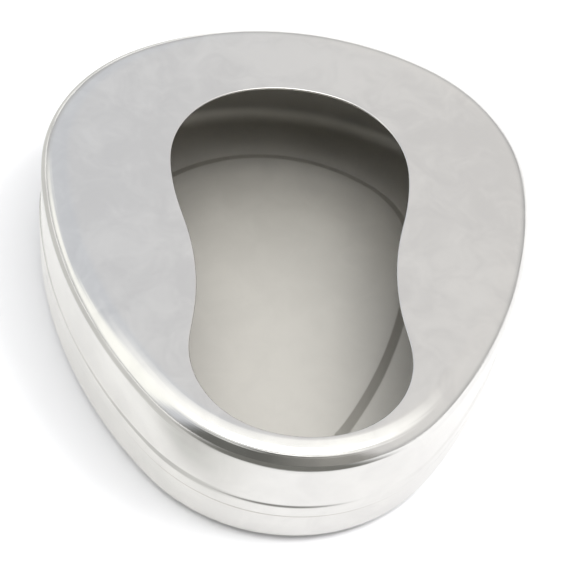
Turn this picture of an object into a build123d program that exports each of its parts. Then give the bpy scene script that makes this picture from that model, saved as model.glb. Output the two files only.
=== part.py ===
from build123d import *
from math import cos, radians, sin
import os

# Two-piece stainless steel bedpan, in millimetres.
# A pressed seat shell laps over a pressed base pan, and a weld bead closes the lap.
# Frame: +Z up, origin on the ground under the middle of the pan, +Y towards the wide back end,
# -Y towards the narrow nose. The left and the right half are mirror images.

# Overall sizes
LENGTH = 355.0              # over the upright wall, back to nose
HEIGHT = 90.5
SHEET = 0.8                 # 22 gauge stainless steel

# Plan outlines. Each is a row of tangent arcs from the back round to the nose, given as
# (radius, direction of the outward normal where the arc ends, in degrees from the back).
# A negative radius is a hollow arc. One more arc closes the outline on the centre line.
WALL_ARCS = ((196.3, 31.0), (117.1, 93.2), (305.5, 130.2))
OPENING_ARCS = ((99.0, 20.0), (65.3, 92.0), (169.9, 107.5), (-173.6, 77.8), (57.5, 160.0))
FLOOR_ARCS = ((116.0, 39.4), (59.8, 95.3), (319.1, 125.4))
OPENING_BACK_Y = 113.6      # back edge of the opening
FLOOR_BACK_Y = 133.2        # middle of the riser at the back of the raised floor

# Seat shell
SHOULDER_RADIUS = 12.0
HEM_WIDTH = 3.5             # edge folded back under the deck, round the opening
HEM_NOSE_RADIUS = 0.75

# Lap joint between the two pressings
SKIRT_Z = 31.6              # lower edge of the seat shell
JOGGLE_Z = 39.8             # where the seat shell steps outwards over the base pan
JOGGLE_RADIUS = 0.75
RIM_CLEARANCE = 0.5         # base pan rim below the joggle
WELD_LEG = 0.7
WELD_BEVEL = 0.45

# Base pan
CORNER_RADIUS = 11.0
FLOOR_RAISE = 3.0
RISER_WIDTH = 7.0


def half_outline(back_y, arcs):
    """Centre, radius, start and end direction of each arc, the closing arc included."""
    radius = arcs[0][0]
    centre_x, centre_y, start = 0.0, back_y - radius, 0.0
    rows = []
    for next_radius, end in arcs:
        centre_x += (radius - next_radius) * sin(radians(start))
        centre_y += (radius - next_radius) * cos(radians(start))
        radius = next_radius
        rows.append((centre_x, centre_y, radius, start, end))
        start = end
    closing_radius = radius + centre_x / sin(radians(start))
    centre_y += (radius - closing_radius) * cos(radians(start))
    rows.append((0.0, centre_y, closing_radius, start, 180.0))
    return rows


def outline(back_y, arcs):
    """Closed face inside an outline, on the ground plane."""
    with BuildSketch() as face:
        with BuildLine():
            for centre_x, centre_y, radius, start, end in half_outline(back_y, arcs):
                directions = [radians(angle) for angle in (start, (start + end) / 2, end)]
                ThreePointArc(*[(centre_x + radius * sin(a), centre_y + radius * cos(a)) for a in directions])
            mirror(about=Plane.YZ)
        make_face()
    return face.sketch


def grown(face, amount):
    """The face with its outline moved outwards by amount."""
    return offset(face, amount=amount, mode=Mode.PRIVATE)


wall = outline(LENGTH / 2, WALL_ARCS)
opening = outline(OPENING_BACK_Y, OPENING_ARCS)
floor_riser = outline(FLOOR_BACK_Y, FLOOR_ARCS)

# Seat shell: flat deck, rolled shoulder and upright wall pressed from one sheet. The deck is
# hemmed round its opening, and the foot of the wall steps out by one sheet to make a skirt.
with BuildPart() as seat_shell:
    with BuildSketch(Plane.XY.offset(JOGGLE_Z)):
        add(wall)
    extrude(amount=HEIGHT - JOGGLE_Z)
    fillet(seat_shell.edges().group_by(Axis.Z)[-1], radius=SHOULDER_RADIUS)
    offset(amount=-SHEET, openings=seat_shell.faces().sort_by(Axis.Z)[0], mode=Mode.REPLACE)

    with BuildSketch(Plane.XY.offset(HEIGHT - 2 * SHEET)):
        add(grown(opening, HEM_WIDTH))
    extrude(amount=SHEET)
    with BuildSketch(Plane.XY.offset(HEIGHT)):
        add(opening)
    extrude(amount=-2 * SHEET, mode=Mode.SUBTRACT)
    hem_nose = seat_shell.faces(Select.LAST).filter_by(GeomType.CYLINDER)
    fillet(hem_nose.edges().filter_by(Axis.Z, reverse=True), radius=HEM_NOSE_RADIUS)

    with BuildSketch(Plane.XY.offset(SKIRT_Z)):
        add(grown(wall, SHEET))
        add(wall, mode=Mode.SUBTRACT)
    extrude(amount=JOGGLE_Z + 2 * JOGGLE_RADIUS - SKIRT_Z)
    skirt_top = seat_shell.faces(Select.LAST).filter_by(Axis.Z).sort_by(Axis.Z)[-1]
    fillet(skirt_top.outer_wire().edges(), radius=JOGGLE_RADIUS)
seat_shell.part.label = "seat_shell"

# Base pan: upright wall, rounded corner, a flat ring that stands on the ground, and a middle
# floor panel raised clear of it by a sloping riser.
with BuildPart() as base_pan:
    with BuildSketch():
        add(wall)
    extrude(amount=JOGGLE_Z - RIM_CLEARANCE)
    fillet(base_pan.edges().group_by(Axis.Z)[0], radius=CORNER_RADIUS)
    offset(amount=-SHEET, openings=base_pan.faces().sort_by(Axis.Z)[-1], mode=Mode.REPLACE)

    with BuildSketch(Plane.XY.offset(SHEET)):
        add(grown(floor_riser, RISER_WIDTH / 2))
    with BuildSketch(Plane.XY.offset(SHEET + FLOOR_RAISE)):
        add(grown(floor_riser, -RISER_WIDTH / 2))
    loft(ruled=True)
    with BuildSketch():
        add(grown(floor_riser, RISER_WIDTH / 2))
    with BuildSketch(Plane.XY.offset(FLOOR_RAISE)):
        add(grown(floor_riser, -RISER_WIDTH / 2))
    loft(ruled=True, mode=Mode.SUBTRACT)
base_pan.part.label = "base_pan"

# Weld bead: a ring in the corner between the skirt's lower edge and the base pan's wall.
with BuildPart() as seam_weld:
    with BuildSketch(Plane.XY.offset(SKIRT_Z - WELD_LEG)):
        add(grown(wall, WELD_LEG))
        add(wall, mode=Mode.SUBTRACT)
    extrude(amount=WELD_LEG)
    bead_foot = seam_weld.faces().sort_by(Axis.Z)[0]
    chamfer(bead_foot.outer_wire().edges(), length=WELD_BEVEL)
seam_weld.part.label = "seam_weld"

os.makedirs("parts", exist_ok=True)
export_step(seat_shell.part, "parts/seat_shell.step")
export_step(base_pan.part, "parts/base_pan.step")
export_step(seam_weld.part, "parts/seam_weld.step")
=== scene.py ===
import math
import bmesh
import bpy
from mathutils import Matrix, Vector
from mathutils.kdtree import KDTree


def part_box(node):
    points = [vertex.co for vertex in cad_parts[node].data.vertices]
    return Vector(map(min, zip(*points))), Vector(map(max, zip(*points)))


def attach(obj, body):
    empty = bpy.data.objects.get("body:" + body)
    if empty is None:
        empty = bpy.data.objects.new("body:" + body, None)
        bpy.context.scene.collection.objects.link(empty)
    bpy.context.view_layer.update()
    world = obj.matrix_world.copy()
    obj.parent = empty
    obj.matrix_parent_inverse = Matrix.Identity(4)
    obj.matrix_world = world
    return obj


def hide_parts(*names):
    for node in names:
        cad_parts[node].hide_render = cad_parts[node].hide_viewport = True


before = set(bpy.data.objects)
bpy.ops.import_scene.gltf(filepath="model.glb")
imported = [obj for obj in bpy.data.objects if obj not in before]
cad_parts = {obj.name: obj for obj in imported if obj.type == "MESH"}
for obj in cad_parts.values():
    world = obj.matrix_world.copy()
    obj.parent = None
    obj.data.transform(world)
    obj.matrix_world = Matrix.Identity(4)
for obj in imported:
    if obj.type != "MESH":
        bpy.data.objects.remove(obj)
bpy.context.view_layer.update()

# Design sizes in millimetres, the same as the CAD part's. Positions up the wall come from the frame.
MM = 0.001
LENGTH = 355.0
SHEET = 0.8
WALL_ARCS = ((196.3, 31.0), (117.1, 93.2), (305.5, 130.2))
OPENING_ARCS = ((99.0, 20.0), (65.3, 92.0), (169.9, 107.5), (-173.6, 77.8), (57.5, 160.0))
FLOOR_ARCS = ((116.0, 39.4), (59.8, 95.3), (319.1, 125.4))
OPENING_BACK_Y = 113.6
FLOOR_BACK_Y = 133.2
SHOULDER_REACH = 17.0       # how far in from the wall the deck starts to fall
SHOULDER_DROP = 11.5        # how far down the wall the rounding goes
SHOULDER_INSIDE = 13.9      # where the deck's rings hand over to the wall's
CORNER_RADIUS = 11.0
HEM_WIDTH = 3.5
HEM_CLEARANCE = 0.5         # between the hem's cut edge and the shoulder
JOGGLE_RISE = 4.0
FLOOR_RAISE = 3.0
RISER_WIDTH = 7.0
WELD_LEG = 0.7
BEAD_SHARE = 0.9            # of the CAD bead's leg, before the ripples
RIPPLES = ((0.06, 1.9), (0.05, 0.37), (0.04, 0.061))        # height and turn per point of each wave
LAP_GAP = 0.03

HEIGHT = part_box("seat_shell")[1].z / MM
SKIRT_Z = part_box("seat_shell")[0].z / MM
RIM_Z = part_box("base_pan")[1].z / MM

EDGE_RADIUS = 0.15          # on the skirt's cut edge
JOGGLE_LIFT = 0.3           # from the base pan's rim up to the foot of the joggle
DECK_GAP = 0.2              # how far the deck's rings stop short of the hem and the shoulder
RISER_GAP = 0.5             # from the riser's foot to the ring that stands on the ground
CORNER_GAP = 0.4            # from that ring to the bottom corner
LAP_TOP = 0.1               # how far below the joggle the inside of the lap stays straight
CENTRE_SHARES = (0.08, 0.25, 0.45, 0.65, 0.82, 0.93, 0.985)     # of the way in over the floor panel

# Heights in metres, each pair where a change starts and ends
TUB_SHADE = (0.0035, 0.009)         # where the inside turns from the floor's tint to painted shade on the walls under the deck
BRUSHED_BELOW = (0.0903, 0.089)     # the buffing streaks keep to the shoulder, between the deck
BRUSHED_ABOVE = (0.073, 0.08)       # and the wall
SEAM_SHADE = (0.0014, 0.0024)       # below the skirt's edge: where the painted shade under the skirt ends
SEAM_FADE = 0.0004                  # how far above the edge it ends

RING_POINTS = 480           # points round each ring of the shells
WELD_POINTS = 1440
ARC_STEPS = 400
ROUNDING = 7.0              # how far the joins between arcs are softened, in mm
SHOULDER_SOFTENING = 14     # rounds of easing where the shoulder meets the wall
STREAK_SCALE = (14.0, 700.0, 1.0)       # of the streaks' noise: long around the part, fine across


# ---------------------------------------------------------------- outlines

def half_outline(back_y, arcs):
    """Centre, radius, start and end direction of each tangent arc, the closing arc included."""
    radius = arcs[0][0]
    centre_x, centre_y, start = 0.0, back_y - radius, 0.0
    rows = []
    for next_radius, end in arcs:
        centre_x += (radius - next_radius) * math.sin(math.radians(start))
        centre_y += (radius - next_radius) * math.cos(math.radians(start))
        radius = next_radius
        rows.append((centre_x, centre_y, radius, start, end))
        start = end
    closing_radius = radius + centre_x / math.sin(math.radians(start))
    centre_y += (radius - closing_radius) * math.cos(math.radians(start))
    rows.append((0.0, centre_y, closing_radius, start, 180.0))
    return rows


def evenly_spaced(path, count):
    """Points at equal steps along an open path, both ends included."""
    reach = [0.0]
    for before, after in zip(path, path[1:]):
        reach.append(reach[-1] + (after - before).length)
    spaced, i = [], 0
    for k in range(count):
        target = reach[-1] * k / (count - 1)
        while i < len(path) - 2 and reach[i + 1] < target:
            i += 1
        share = (target - reach[i]) / (reach[i + 1] - reach[i])
        spaced.append(path[i].lerp(path[i + 1], share))
    return spaced


class Outline:
    """A closed plan curve as evenly spaced points and outward normals, from the back towards +X."""

    def __init__(self, back_y, arcs, count=RING_POINTS):
        path = []
        for centre_x, centre_y, radius, start, end in half_outline(back_y, arcs):
            for k in range(ARC_STEPS + 1):
                angle = math.radians(start + (end - start) * k / ARC_STEPS)
                point = Vector((centre_x + radius * math.sin(angle), centre_y + radius * math.cos(angle)))
                if not path or (point - path[-1]).length > 1e-6:
                    path.append(point)
        right = evenly_spaced(path, count // 2 + 1)
        left = [Vector((-p.x, p.y)) for p in reversed(right[1:-1])]
        points = right + left
        spacing = (points[1] - points[0]).length
        for _ in range(round(2 * (ROUNDING / spacing) ** 2)):
            points = [
                (points[i - 1] + 2 * p + points[(i + 1) % count]) / 4 for i, p in enumerate(points)
            ]
        self.points = points
        self.normals = []
        for i in range(count):
            along = (points[(i + 1) % count] - points[i - 1]).normalized()
            self.normals.append(Vector((-along.y, along.x)))

    def ring(self, offset, z):
        """The curve moved outwards by offset, at height z, in metres."""
        return [
            Vector((p.x + n.x * offset, p.y + n.y * offset, z)) * MM
            for p, n in zip(self.points, self.normals)
        ]


def between(ring_a, ring_b, share):
    return [a.lerp(b, share) for a, b in zip(ring_a, ring_b)]


def eased(share):
    return share * share * (3 - 2 * share)


def ramp(share, bend=0.15):
    """A straight rise from 0 to 1 with a short bend at each end."""
    if share > 0.5:
        return 1 - ramp(1 - share, bend)
    if share < bend:
        return share * share / (2 * bend * (1 - bend))
    return (share - bend / 2) / (1 - bend)


# ---------------------------------------------------------------- meshes

def skin(name, rings, inside=(), closed=False, capped=False):
    """Mesh of quads through the rings. Ring gaps listed in inside take the second material."""
    count = len(rings[0])
    verts = [point for ring in rings for point in ring]
    faces, slots, grain = [], [], []
    reach = [0.0]
    for before, after in zip(rings, rings[1:]):
        reach.append(reach[-1] + (after[0] - before[0]).length)
    girth = sum((rings[0][i] - rings[0][i - 1]).length for i in range(count))
    gaps = len(rings) if closed else len(rings) - 1
    for k in range(gaps):
        low, high = k * count, ((k + 1) % len(rings)) * count
        v_low = reach[k]
        v_high = reach[k + 1] if k + 1 < len(rings) else v_low + MM
        for i in range(count):
            j = (i + 1) % count
            faces.append((low + i, low + j, high + j, high + i))
            slots.append(1 if k in inside else 0)
            u_i, u_j = girth * i / count, girth * (i + 1) / count
            grain += [(u_i, v_low), (u_j, v_low), (u_j, v_high), (u_i, v_high)]
    mesh = bpy.data.meshes.new(name)
    mesh.from_pydata(verts, [], faces)
    mesh.polygons.foreach_set("material_index", slots)
    mesh.polygons.foreach_set("use_smooth", [True] * len(faces))
    layer = mesh.uv_layers.new(name="grain")
    layer.data.foreach_set("uv", [value for pair in grain for value in pair])
    mesh.validate()
    piece = bpy.data.objects.new(name, mesh)
    bpy.context.scene.collection.objects.link(piece)
    return piece


def recalculated(piece):
    """Turns every face outwards."""
    work = bmesh.new()
    work.from_mesh(piece.data)
    bmesh.ops.recalc_face_normals(work, faces=work.faces)
    work.to_mesh(piece.data)
    work.free()
    return piece


wall = Outline(LENGTH / 2, WALL_ARCS)
opening = Outline(OPENING_BACK_Y, OPENING_ARCS)
riser = Outline(FLOOR_BACK_Y, FLOOR_ARCS)

wall_tree = KDTree(RING_POINTS)
for index, point in enumerate(wall.points):
    wall_tree.insert((*point, 0), index)
wall_tree.balance()


def inset_from_wall(x, y):
    """How far a plan point lies inside the wall's outer face, in millimetres."""
    nearest = wall_tree.find((x, y, 0))[1]
    return (wall.points[nearest] - Vector((x, y))).dot(wall.normals[nearest])


def deck_fall(point):
    """How far the deck has fallen below its highest level at a point, in metres."""
    share = max(0.0, 1 - inset_from_wall(point.x / MM, point.y / MM) / SHOULDER_REACH)
    return SHOULDER_DROP * (1 - math.sqrt(1 - share * share)) * MM


def fallen(ring):
    """The ring lowered to follow the deck's fall towards the shoulder."""
    return [Vector((p.x, p.y, p.z - deck_fall(p))) for p in ring]


def hem_ring(z):
    """The cut edge of the hem under the deck, narrower where the shoulder leaves it little room."""
    ring = []
    for p, n in zip(opening.points, opening.normals):
        room = inset_from_wall(p.x, p.y) - SHOULDER_INSIDE - HEM_CLEARANCE
        width = min(HEM_WIDTH, room)
        ring.append(Vector((p.x + n.x * width, p.y + n.y * width, z)) * MM)
    return fallen(ring)


def shoulder(inset, steps):
    """Rings of the elliptical rounding from the deck to the wall, inset by the sheet on the inside."""
    start = math.asin(1 - SHOULDER_INSIDE / SHOULDER_REACH)
    rings = []
    for k in range(steps + 1):
        angle = start + (math.pi / 2 - start) * k / steps
        offset = (SHOULDER_REACH - inset) * math.sin(angle) - SHOULDER_REACH
        z = HEIGHT - SHOULDER_DROP + (SHOULDER_DROP - inset) * math.cos(angle)
        rings.append(wall.ring(offset, z))
    return rings


def softened(rings, rounds):
    """The same rings with the section's bends eased, both ends kept."""
    for _ in range(rounds):
        rings = [rings[0]] + [
            [(before + 2 * here + after) / 4 for before, here, after in zip(*rings[k - 1:k + 2])]
            for k in range(1, len(rings) - 1)
        ] + [rings[-1]]
    return rings


def turned(outline, centre_offset, centre_z, radius, start, end, steps):
    """Rings along an arc of the section. Angle 0 points straight up and 90 straight outwards."""
    rings = []
    for k in range(steps + 1):
        angle = math.radians(start + (end - start) * k / steps)
        offset = centre_offset + radius * math.sin(angle)
        rings.append(outline.ring(offset, centre_z + radius * math.cos(angle)))
    return rings


def straight(outline, offset, z_from, z_to, steps):
    """Rings up or down an upright wall, both ends left out."""
    return [outline.ring(offset, z_from + (z_to - z_from) * k / steps) for k in range(1, steps)]


def joggle(offset_from, offset_to, z_from, z_to, steps):
    """Rings along a smooth side step of the wall."""
    rings = []
    for k in range(steps + 1):
        offset = offset_from + (offset_to - offset_from) * eased(k / steps)
        rings.append(wall.ring(offset, z_from + (z_to - z_from) * k / steps))
    return rings


def make_seat_shell():
    joggle_low = RIM_Z + JOGGLE_LIFT
    joggle_high = joggle_low + JOGGLE_RISE
    inner_high = joggle_high - SHEET / 2
    under_deck = HEIGHT - SHEET
    rings = [fallen(ring) for ring in turned(opening, SHEET, under_deck, SHEET, -180, 0, 12)]
    deck_start = opening.ring(SHEET + DECK_GAP, HEIGHT)
    deck_end = wall.ring(-SHOULDER_INSIDE - DECK_GAP, HEIGHT)
    rings += [fallen(between(deck_start, deck_end, eased(k / 18))) for k in range(19)]
    side = shoulder(0, 40) + straight(wall, 0, HEIGHT - SHOULDER_DROP, joggle_high, 50)
    rings += softened(side, SHOULDER_SOFTENING)
    rings += joggle(0, SHEET, joggle_high, joggle_low, 8)
    rings += straight(wall, SHEET, joggle_low, SKIRT_Z + EDGE_RADIUS, 4)
    rings += turned(wall, SHEET - EDGE_RADIUS, SKIRT_Z + EDGE_RADIUS, EDGE_RADIUS, 90, 180, 3)
    outside = len(rings)
    rings += [wall.ring(LAP_GAP, SKIRT_Z)]
    rings += [wall.ring(LAP_GAP, joggle_low - LAP_TOP)]
    rings += joggle(LAP_GAP, -SHEET, joggle_low, inner_high, 6)
    rings += straight(wall, -SHEET, inner_high, HEIGHT - SHOULDER_DROP, 8)
    rings += reversed(shoulder(SHEET, 20))
    hem_end = hem_ring(under_deck)
    ceiling = fallen(wall.ring(-SHOULDER_INSIDE - DECK_GAP, under_deck))
    rings += [between(ceiling, hem_end, k / 10) for k in range(11)]
    rings += [hem_ring(HEIGHT - 2 * SHEET)]
    inside = range(outside - 1, len(rings))
    return recalculated(skin("seat_shell_skin", rings, inside, closed=True))


def floor_section(sheet_bottom, steps=20):
    """Rings of the floor from the riser's foot over the riser and in to the middle, at one face."""
    rings = [
        riser.ring(
            RISER_WIDTH / 2 - RISER_WIDTH * k / steps,
            sheet_bottom + FLOOR_RAISE * ramp(k / steps),
        )
        for k in range(steps + 1)
    ]
    centre = Vector((0, (riser.points[0].y + riser.points[RING_POINTS // 2].y) / 2, 0)) * MM
    centre.z = (sheet_bottom + FLOOR_RAISE) * MM
    last = rings[-1]
    return rings + [between(last, [centre] * len(last), share) for share in CENTRE_SHARES]


def standing_ring(z, steps=6):
    """Rings of the flat part that stands on the ground, from the riser's foot out to the corner."""
    foot = riser.ring(RISER_WIDTH / 2 + RISER_GAP, z)
    corner = wall.ring(-CORNER_RADIUS - CORNER_GAP, z)
    return [between(foot, corner, k / steps) for k in range(steps + 1)]


def make_base_pan():
    rings = list(reversed(floor_section(SHEET)))
    rings += standing_ring(SHEET)
    rings += turned(wall, -CORNER_RADIUS, CORNER_RADIUS, CORNER_RADIUS - SHEET, 180, 90, 16)
    rings += straight(wall, -SHEET, CORNER_RADIUS, RIM_Z, 6)
    inside = range(0, len(rings) + 1)
    edge = SHEET / 2
    rings += turned(wall, -edge, RIM_Z - edge, edge, -90, 90, 6)
    rings += straight(wall, 0, RIM_Z - edge, CORNER_RADIUS, 6)
    rings += turned(wall, -CORNER_RADIUS, CORNER_RADIUS, CORNER_RADIUS, 90, 180, 20)
    rings += reversed(standing_ring(0))
    rings += floor_section(0)
    piece = skin("base_pan_skin", rings, inside)
    work = bmesh.new()
    work.from_mesh(piece.data)
    bmesh.ops.holes_fill(work, edges=[e for e in work.edges if e.is_boundary], sides=0)
    middle_of_sheet = (FLOOR_RAISE + SHEET / 2) * MM
    for face in work.faces:
        if len(face.verts) > 4:
            face.smooth = True
            face.material_index = 1 if face.calc_center_median().z > middle_of_sheet else 0
    work.to_mesh(piece.data)
    work.free()
    return recalculated(piece)


def make_weld():
    """A thin uneven bead in the corner under the skirt's edge."""
    fine = Outline(LENGTH / 2, WALL_ARCS, WELD_POINTS)
    ripples = [
        sum((height * math.sin(i * turn) for height, turn in RIPPLES), 1)
        for i in range(WELD_POINTS)
    ]
    rings = []
    steps = 6
    for k in range(steps + 1):
        angle = math.radians(90 + 90 * k / steps)
        ring = []
        for p, n, ripple in zip(fine.points, fine.normals, ripples):
            size = WELD_LEG * BEAD_SHARE * ripple
            offset = LAP_GAP + size * max(math.sin(angle), 0.0)
            z = SKIRT_Z + size * math.cos(angle)
            ring.append(Vector((p.x + n.x * offset, p.y + n.y * offset, z)) * MM)
        rings.append(ring)
    rings.append(fine.ring(LAP_GAP, SKIRT_Z))
    return recalculated(skin("seam_weld_bead", rings, closed=True))


# ---------------------------------------------------------------- node helpers

def node(tree, kind, inputs=None, **settings):
    made = tree.nodes.new(kind)
    for key, value in settings.items():
        setattr(made, key, value)
    for key, value in (inputs or {}).items():
        if isinstance(value, bpy.types.NodeSocket):
            tree.links.new(value, made.inputs[key])
        else:
            made.inputs[key].default_value = value
    return made


def calc(tree, operation, *values):
    return node(tree, "ShaderNodeMath", dict(enumerate(values)), operation=operation).outputs[0]


def multiplied(tree, *values):
    total = values[0]
    for value in values[1:]:
        total = calc(tree, "MULTIPLY", total, value)
    return total


def ratio(tree, value, reach):
    """value over reach, kept finite where reach is small or negative."""
    return calc(tree, "DIVIDE", value, calc(tree, "MAXIMUM", reach, 0.01))


def smooth(tree, value, start, end):
    """0 on the side of start, 1 on the side of end, smooth between them. Either may be the lower."""
    made = node(
        tree, "ShaderNodeMapRange", {"Value": value, "From Min": start, "From Max": end},
        interpolation_type="SMOOTHSTEP",
    )
    return made.outputs["Result"]


def noise(tree, place, scale, detail, **more):
    inputs = {"Vector": place, "Scale": scale, "Detail": detail, **more}
    return node(tree, "ShaderNodeTexNoise", inputs).outputs["Fac"]


def mixed(tree, share, a, b):
    made = node(tree, "ShaderNodeMix", data_type="RGBA")
    for key, value in (("Factor_Float", share), ("A_Color", a), ("B_Color", b)):
        socket = next(s for s in made.inputs if s.identifier == key)
        if isinstance(value, bpy.types.NodeSocket):
            tree.links.new(value, socket)
        else:
            socket.default_value = value
    return next(s for s in made.outputs if s.identifier == "Result_Color")


# ---------------------------------------------------------------- materials

def steel(name, light, dark, roughness, spread, streaks, grain, painted_wall_shade=None, painted_seam_shade=None):
    """Stainless steel: mottled tint, uneven polish, buffing streaks on the shoulder and fine grain.

    Above the tub's floor the tint turns darker, painted shade on the walls under the deck, and in the
    corner under the skirt's edge darker too, painted shade under the skirt.
    """
    material = bpy.data.materials.new(name)
    material.use_nodes = True
    tree = material.node_tree
    shader = tree.nodes["Principled BSDF"]
    shader.inputs["Metallic"].default_value = 1.0

    place = node(tree, "ShaderNodeTexCoord").outputs["Object"]
    level = node(tree, "ShaderNodeSeparateXYZ", {"Vector": place}).outputs["Z"]
    cloud = noise(tree, place, 9.0, 4.0)
    smudge = noise(tree, place, 45.0, 5.0, Roughness=0.6, Distortion=0.8)
    wear = calc(tree, "ADD", calc(tree, "MULTIPLY", cloud, 0.5), calc(tree, "MULTIPLY", smudge, 0.5))

    tint = mixed(tree, smooth(tree, wear, 0.36, 0.64), (*dark, 1), (*light, 1))
    # Painted shade: a darker band on the pan's wall just under the skirt's edge.
    if painted_seam_shade:
        edge = SKIRT_Z * MM
        line = multiplied(
            tree,
            smooth(tree, level, edge - SEAM_SHADE[1], edge - SEAM_SHADE[0]),
            smooth(tree, level, edge + SEAM_FADE, edge),
        )
        tint = mixed(tree, line, tint, (*painted_seam_shade, 1))
    # Painted shade: the inside's walls turn darker above the tub's floor, under the deck.
    if painted_wall_shade:
        tint = mixed(tree, smooth(tree, level, *TUB_SHADE), tint, (*painted_wall_shade, 1))
    tree.links.new(tint, shader.inputs["Base Color"])

    polish = node(tree, "ShaderNodeMapRange", {
        "Value": wear, "From Min": 0.3, "From Max": 0.7,
        "To Min": roughness - spread, "To Max": roughness + spread,
    })
    tree.links.new(polish.outputs["Result"], shader.inputs["Roughness"])

    along = node(tree, "ShaderNodeUVMap", uv_map="grain").outputs["UV"]
    stretched = node(tree, "ShaderNodeMapping", {"Vector": along, "Scale": STREAK_SCALE})
    brushed = multiplied(
        tree, noise(tree, stretched.outputs["Vector"], 1.0, 3.0),
        smooth(tree, level, *BRUSHED_BELOW), smooth(tree, level, *BRUSHED_ABOVE),
    )
    lines = node(tree, "ShaderNodeBump", {"Height": brushed, "Strength": streaks, "Distance": 0.0002})
    surface = node(tree, "ShaderNodeBump", {
        "Height": noise(tree, place, 1400.0, 2.0), "Strength": grain, "Distance": 0.0001,
        "Normal": lines.outputs["Normal"],
    })
    tree.links.new(surface.outputs["Normal"], shader.inputs["Normal"])
    return material


# ---------------------------------------------------------------- pieces

# Its last colour is painted shade in the corner under the skirt's edge.
outer_steel = steel(
    "polished_steel", light=(0.675, 0.67, 0.66), dark=(0.61, 0.605, 0.6),
    roughness=0.12, spread=0.05, streaks=0.45, grain=0.05, painted_seam_shade=(0.44, 0.42, 0.4),
)
# Its last colour is painted shade on the tub's walls above its floor, under the deck.
inner_steel = steel(
    "satin_steel", light=(0.73, 0.715, 0.68), dark=(0.69, 0.675, 0.64),
    roughness=0.64, spread=0.04, streaks=0.05, grain=0.1, painted_wall_shade=(0.42, 0.41, 0.39),
)
# The bead's dark tint is partly the weld's own tone and partly painted shade under the skirt.
bead_steel_and_shade = steel(
    "weld_steel", light=(0.3, 0.28, 0.25), dark=(0.2, 0.18, 0.16),
    roughness=0.35, spread=0.06, streaks=0.2, grain=0.2,
)

seat_shell = make_seat_shell()
base_pan = make_base_pan()
weld = make_weld()
for piece, node_name, slot in (
    (seat_shell, "seat_shell", "shell_steel"),
    (base_pan, "base_pan", "pan_steel"),
    (weld, "seam_weld", "weld_steel"),
):
    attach(piece, "root")
    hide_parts(node_name)
for piece in (seat_shell, base_pan):
    piece.data.materials.append(outer_steel)
    piece.data.materials.append(inner_steel)
weld.data.materials.append(bead_steel_and_shade)


# ---------------------------------------------------------------- stage

# Tones of the floor, and of the room that lights the part and shows in its reflections. The room's
# parts are placed by direction and the floor's tints in metres: -X is left and -Y is the nose's side.
WHITE = (1.0, 1.0, 1.0, 1)
FLOOR_WHITE = (0.8, 0.805, 0.83, 1)
# Seen only in reflections: painted light near the part and painted shade on the left and in front.
FLOOR_RIGHT = (0.79, 0.79, 0.8, 1)
FLOOR_SHADED = (0.5, 0.5, 0.49, 1)
FLOOR_FRONT = (0.14, 0.14, 0.13, 1)
WALLS_LEFT = (0.88, 0.9, 0.94, 1)
WALLS_RIGHT = (0.99, 0.97, 0.95, 1)
HORIZON = (0.6, 0.6, 0.59, 1)
WINDOW = (1.5, 1.5, 1.42, 1)
DARK_LEFT = (0.19, 0.19, 0.175, 1)
DARK_RIGHT = (0.42, 0.41, 0.38, 1)
CEILING = (1.52, 1.51, 1.46, 1)
CEILING_CORE = (5.5, 5.45, 5.3, 1)


def tint_in_reflections(tree):
    """The floor's tint to reflections: painted shade on the left, painted shade in front, dark like the
    room there, and painted light near the part, lighter on the left.
    """
    place = node(tree, "ShaderNodeNewGeometry").outputs["Position"]
    away = node(tree, "ShaderNodeVectorMath", {0: place}, operation="LENGTH").outputs["Value"]
    x, y, _ = node(tree, "ShaderNodeSeparateXYZ", {"Vector": place}).outputs
    left = multiplied(
        tree, smooth(tree, x, 0.0, -0.12), smooth(tree, away, 0.18, 0.21), smooth(tree, away, 1.2, 0.6),
    )
    sideways = ratio(tree, x, calc(tree, "MULTIPLY", y, -1.0))
    front = multiplied(
        tree, smooth(tree, y, -0.226, -0.265),
        smooth(tree, sideways, -1.5, -0.4), smooth(tree, sideways, 0.95, 0.35),
    )
    # Painted light: near the part, the floor shows lighter on the left, over the part's shadow, than on
    # the right.
    near = mixed(tree, smooth(tree, x, 0.02, -0.1), FLOOR_RIGHT, WHITE)
    return mixed(tree, front, mixed(tree, left, near, FLOOR_SHADED), FLOOR_FRONT)


def make_floor():
    """A plain pale plane. Only reflections see it tinted, with painted shade and painted light."""
    material = bpy.data.materials.new("floor_white")
    material.use_nodes = True
    tree = material.node_tree
    shader = tree.nodes["Principled BSDF"]
    shader.inputs["Roughness"].default_value = 0.9
    shader.inputs["Specular IOR Level"].default_value = 0.2
    reflected = node(tree, "ShaderNodeLightPath").outputs["Is Glossy Ray"]
    tint = mixed(tree, reflected, FLOOR_WHITE, tint_in_reflections(tree))
    tree.links.new(tint, shader.inputs["Base Color"])

    reach = 8.0
    corners = [(-reach, -reach, 0), (reach, -reach, 0), (reach, reach, 0), (-reach, reach, 0)]
    mesh = bpy.data.meshes.new("floor")
    mesh.from_pydata(corners, [], [(0, 1, 2, 3)])
    mesh.materials.append(material)
    floor = bpy.data.objects.new("floor", mesh)
    bpy.context.scene.collection.objects.link(floor)


def add_window(tree, y, z, to_left, room):
    """A bright window on the left. Its low part reaches further back."""
    backwards = ratio(tree, y, to_left)
    low_part = multiplied(tree, smooth(tree, backwards, 1.1, 0.5), smooth(tree, z, 0.5, 0.3))
    window = multiplied(
        tree, smooth(tree, backwards, -0.45, -0.2),
        calc(tree, "MAXIMUM", smooth(tree, backwards, 0.45, 0.2), low_part),
        smooth(tree, to_left, 0.0, 0.2), smooth(tree, z, -0.02, 0.25),
    )
    return mixed(tree, window, room, WINDOW)


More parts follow.
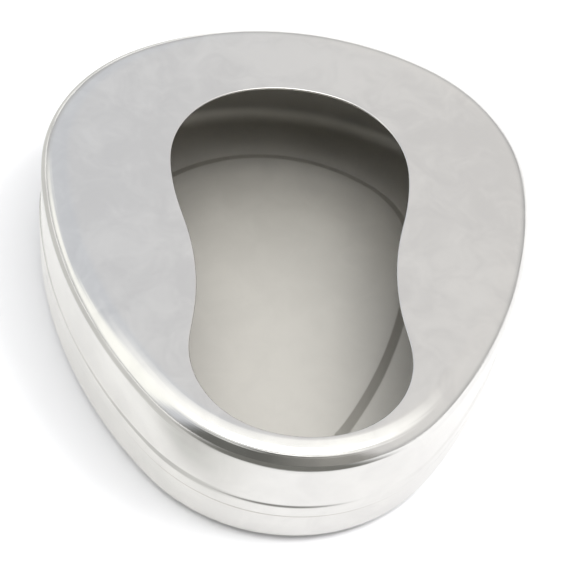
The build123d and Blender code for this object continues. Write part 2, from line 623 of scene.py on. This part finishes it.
def add_dark_side(tree, x, z, to_front, room):
    """The dark side of the room in front, darkest on its left."""
    sideways = ratio(tree, x, to_front)
    dark = multiplied(
        tree, smooth(tree, to_front, 0.05, 0.3),
        smooth(tree, sideways, -1.9, -1.0), smooth(tree, sideways, 1.15, 0.7), smooth(tree, z, 0.92, 0.8),
    )
    tone = mixed(tree, smooth(tree, sideways, -0.3, 0.5), DARK_LEFT, DARK_RIGHT)
    return mixed(tree, dark, room, tone)


def add_ceiling(tree, x, z, to_front, room):
    """A bright ceiling panel with a brighter core towards the front."""
    slant = calc(tree, "ADD", z, calc(tree, "MULTIPLY", to_front, 0.1))
    slant = calc(tree, "ADD", slant, calc(tree, "MULTIPLY", calc(tree, "ABSOLUTE", x), 0.25))
    panel = mixed(tree, smooth(tree, slant, 0.87, 1.0), room, CEILING)
    core = multiplied(tree, smooth(tree, to_front, 0.0, 0.2), smooth(tree, z, 0.84, 0.93))
    return mixed(tree, core, panel, CEILING_CORE)


def make_world():
    """Pale walls with a window, a dark side and a ceiling panel. The camera itself sees plain white."""
    world = bpy.data.worlds.new("studio")
    bpy.context.scene.world = world
    world.use_nodes = True
    tree = world.node_tree
    tree.nodes.clear()
    direction = node(tree, "ShaderNodeTexCoord").outputs["Generated"]
    x, y, z = node(tree, "ShaderNodeSeparateXYZ", {"Vector": direction}).outputs
    to_left = calc(tree, "MULTIPLY", x, -1.0)
    to_front = calc(tree, "MULTIPLY", y, -1.0)

    walls = mixed(tree, smooth(tree, x, -0.2, 0.3), WALLS_LEFT, WALLS_RIGHT)
    room = mixed(tree, smooth(tree, z, 0.4, -0.05), walls, HORIZON)
    room = add_window(tree, y, z, to_left, room)
    room = add_dark_side(tree, x, z, to_front, room)
    room = add_ceiling(tree, x, z, to_front, room)
    seen = node(tree, "ShaderNodeLightPath").outputs["Is Camera Ray"]
    colour = mixed(tree, seen, room, WHITE)
    background = node(tree, "ShaderNodeBackground", {"Color": colour, "Strength": 1.0})
    output = node(tree, "ShaderNodeOutputWorld")
    tree.links.new(background.outputs[0], output.inputs["Surface"])


def make_key():
    data = bpy.data.lights.new("key", "AREA")
    data.shape = "DISK"
    data.size = 1.05
    data.energy = 28.0
    key = bpy.data.objects.new("key", data)
    key.location = (1.12, -0.12, 1.95)
    key.rotation_mode = "QUATERNION"
    key.rotation_quaternion = Vector(key.location).to_track_quat("Z", "Y")
    key.visible_glossy = False
    bpy.context.scene.collection.objects.link(key)


def make_camera():
    """Looks down at the nose from the left, turned a little about its own axis."""
    azimuth, elevation, roll = math.radians(-11.18), math.radians(50.11), math.radians(11.3)
    back = Vector((math.sin(azimuth), -math.cos(azimuth), 0)) * math.cos(elevation)
    back.z = math.sin(elevation)
    level = Vector((math.cos(azimuth), math.sin(azimuth), 0))
    upright = back.cross(level)
    right = level * math.cos(roll) + upright * math.sin(roll)
    up = upright * math.cos(roll) - level * math.sin(roll)
    data = bpy.data.cameras.new("camera")
    data.sensor_width = 36.0
    data.lens = 103.56
    data.shift_x = 0.004
    data.shift_y = -0.0502
    camera = bpy.data.objects.new("camera", data)
    target = Vector((0, 0, 0.05))
    distance = 1.0612
    turn = Matrix((right, up, back)).transposed().to_4x4()
    camera.matrix_world = Matrix.Translation(target + back * distance) @ turn
    bpy.context.scene.collection.objects.link(camera)
    bpy.context.scene.camera = camera


make_floor()
make_world()
make_key()
make_camera()
bpy.context.scene.view_settings.view_transform = "Standard"
